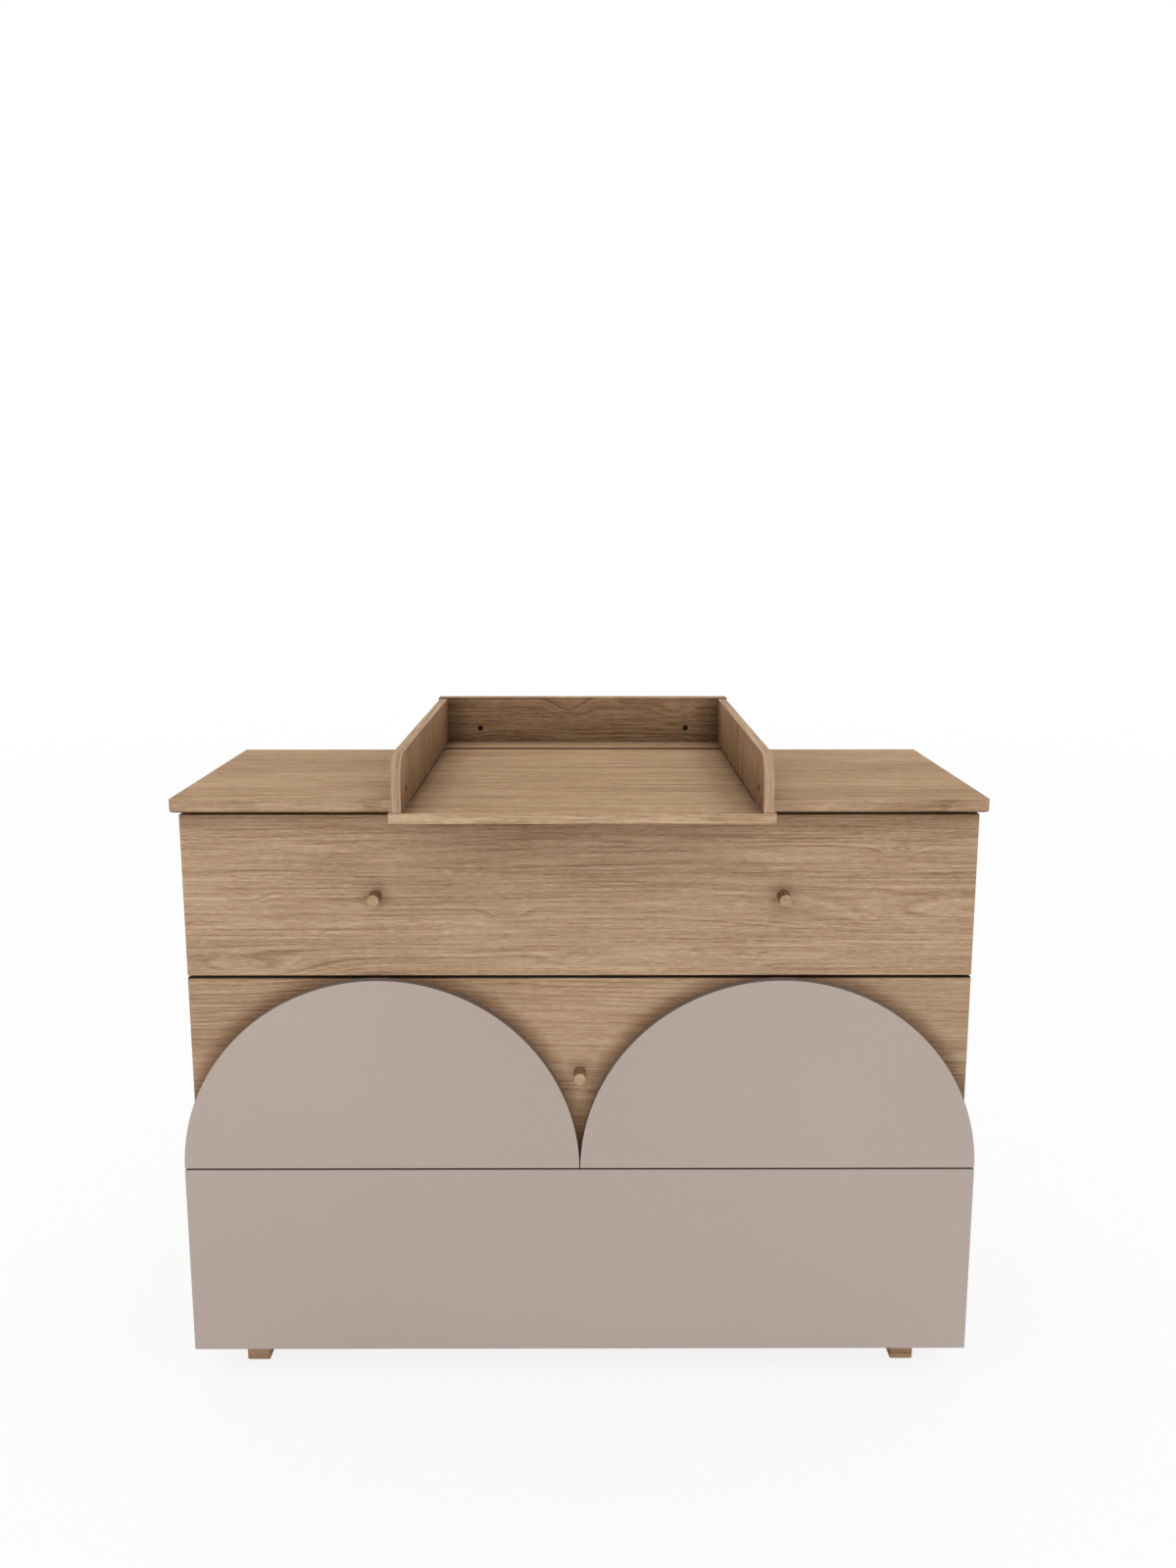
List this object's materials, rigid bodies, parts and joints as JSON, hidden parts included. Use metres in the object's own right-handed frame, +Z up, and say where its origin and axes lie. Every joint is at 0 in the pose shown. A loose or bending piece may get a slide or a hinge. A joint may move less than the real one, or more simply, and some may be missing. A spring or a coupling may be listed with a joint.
{
  "type": "dresser",
  "caption": "Nursery dresser with full-width drawers, half-round and plain taupe facings on light oak, peg knobs, block feet and an overhanging changing tray on its top.",
  "frame": {"origin": "on the floor under the middle of the whole outline, tray included", "axes": "+X to the right as seen from the front, +Y from the drawer fronts to the back, +Z up"},
  "size_m": [1.2, 0.6614, 1.0078],
  "materials": {
    "oak_board": "light natural oak decor on board, matt, straight to cathedral grain",
    "oak_solid": "solid light oak, matt oiled",
    "taupe_lacquer": "matt warm taupe lacquer on fibreboard",
    "hardboard": "thin printed fibreboard, matt",
    "drawer_board": "off-white laminated board, matt",
    "steel": "zinc-plated steel",
    "bumper_plastic": "soft translucent dot"
  },
  "bodies": {
    "cabinet": {"top_panel": "oak_board", "left_side_panel": "oak_board", "right_side_panel": "oak_board", "bottom_panel": "oak_board", "back_panel": "hardboard", "front_rail": "oak_board", "rear_rail": "oak_board", "front_left_foot": "oak_solid", "front_right_foot": "oak_solid", "rear_left_foot": "oak_solid", "rear_right_foot": "oak_solid", "wall_bracket": "steel", "panel_screws": "steel", "carcass_connectors": "steel", "front_bumpers": "bumper_plastic", "cabinet_runners": "steel", "tray_floor": "oak_board", "tray_rear_strip": "oak_board", "tray_left_wall": "oak_board", "tray_right_wall": "oak_board", "tray_back_wall": "oak_board", "tray_barrel_nuts": "steel", "tray_bolts": "steel", "tray_wall_screws": "steel"},
    "top_drawer": {"top_drawer_front": "oak_board", "top_drawer_left_side": "drawer_board", "top_drawer_right_side": "drawer_board", "top_drawer_back": "drawer_board", "top_drawer_floor": "drawer_board", "top_drawer_connectors": "steel", "top_drawer_runners": "steel", "top_left_knob": "oak_solid", "top_right_knob": "oak_solid", "top_knob_screws": "steel"},
    "top_intermediate_runners": {"top_intermediate_runners": "steel"},
    "middle_drawer": {"middle_drawer_front": "oak_board", "middle_drawer_left_side": "drawer_board", "middle_drawer_right_side": "drawer_board", "middle_drawer_back": "drawer_board", "middle_drawer_floor": "drawer_board", "middle_drawer_connectors": "steel", "middle_drawer_runners": "steel", "middle_knob": "oak_solid", "middle_knob_screw": "steel", "left_arch": "taupe_lacquer", "right_arch": "taupe_lacquer", "arch_screws": "steel"},
    "middle_intermediate_runners": {"middle_intermediate_runners": "steel"},
    "bottom_drawer": {"bottom_drawer_front": "oak_board", "bottom_drawer_left_side": "drawer_board", "bottom_drawer_right_side": "drawer_board", "bottom_drawer_back": "drawer_board", "bottom_drawer_floor": "drawer_board", "bottom_drawer_connectors": "steel", "bottom_drawer_runners": "steel", "bottom_facing": "taupe_lacquer", "facing_screws": "steel"},
    "bottom_intermediate_runners": {"bottom_intermediate_runners": "steel"}
  },
  "joints": [
    {"name": "top_drawer_slide", "type": "slide", "parent": "cabinet", "child": "top_drawer", "axis": [0, -1, 0], "range_m": [0, 0.4]},
    {"name": "top_intermediate_runners_slide", "type": "slide", "parent": "cabinet", "child": "top_intermediate_runners", "axis": [0, -1, 0], "range_m": [0, 0.2]},
    {"name": "middle_drawer_slide", "type": "slide", "parent": "cabinet", "child": "middle_drawer", "axis": [0, -1, 0], "range_m": [0, 0.4]},
    {"name": "middle_intermediate_runners_slide", "type": "slide", "parent": "cabinet", "child": "middle_intermediate_runners", "axis": [0, -1, 0], "range_m": [0, 0.2]},
    {"name": "bottom_drawer_slide", "type": "slide", "parent": "cabinet", "child": "bottom_drawer", "axis": [0, -1, 0], "range_m": [0, 0.4]},
    {"name": "bottom_intermediate_runners_slide", "type": "slide", "parent": "cabinet", "child": "bottom_intermediate_runners", "axis": [0, -1, 0], "range_m": [0, 0.2]}
  ],
  "couplings": [
    {"joint": "top_intermediate_runners_slide", "follows": "top_drawer_slide", "ratio": 0.5},
    {"joint": "middle_intermediate_runners_slide", "follows": "middle_drawer_slide", "ratio": 0.5},
    {"joint": "bottom_intermediate_runners_slide", "follows": "bottom_drawer_slide", "ratio": 0.5}
  ]
}
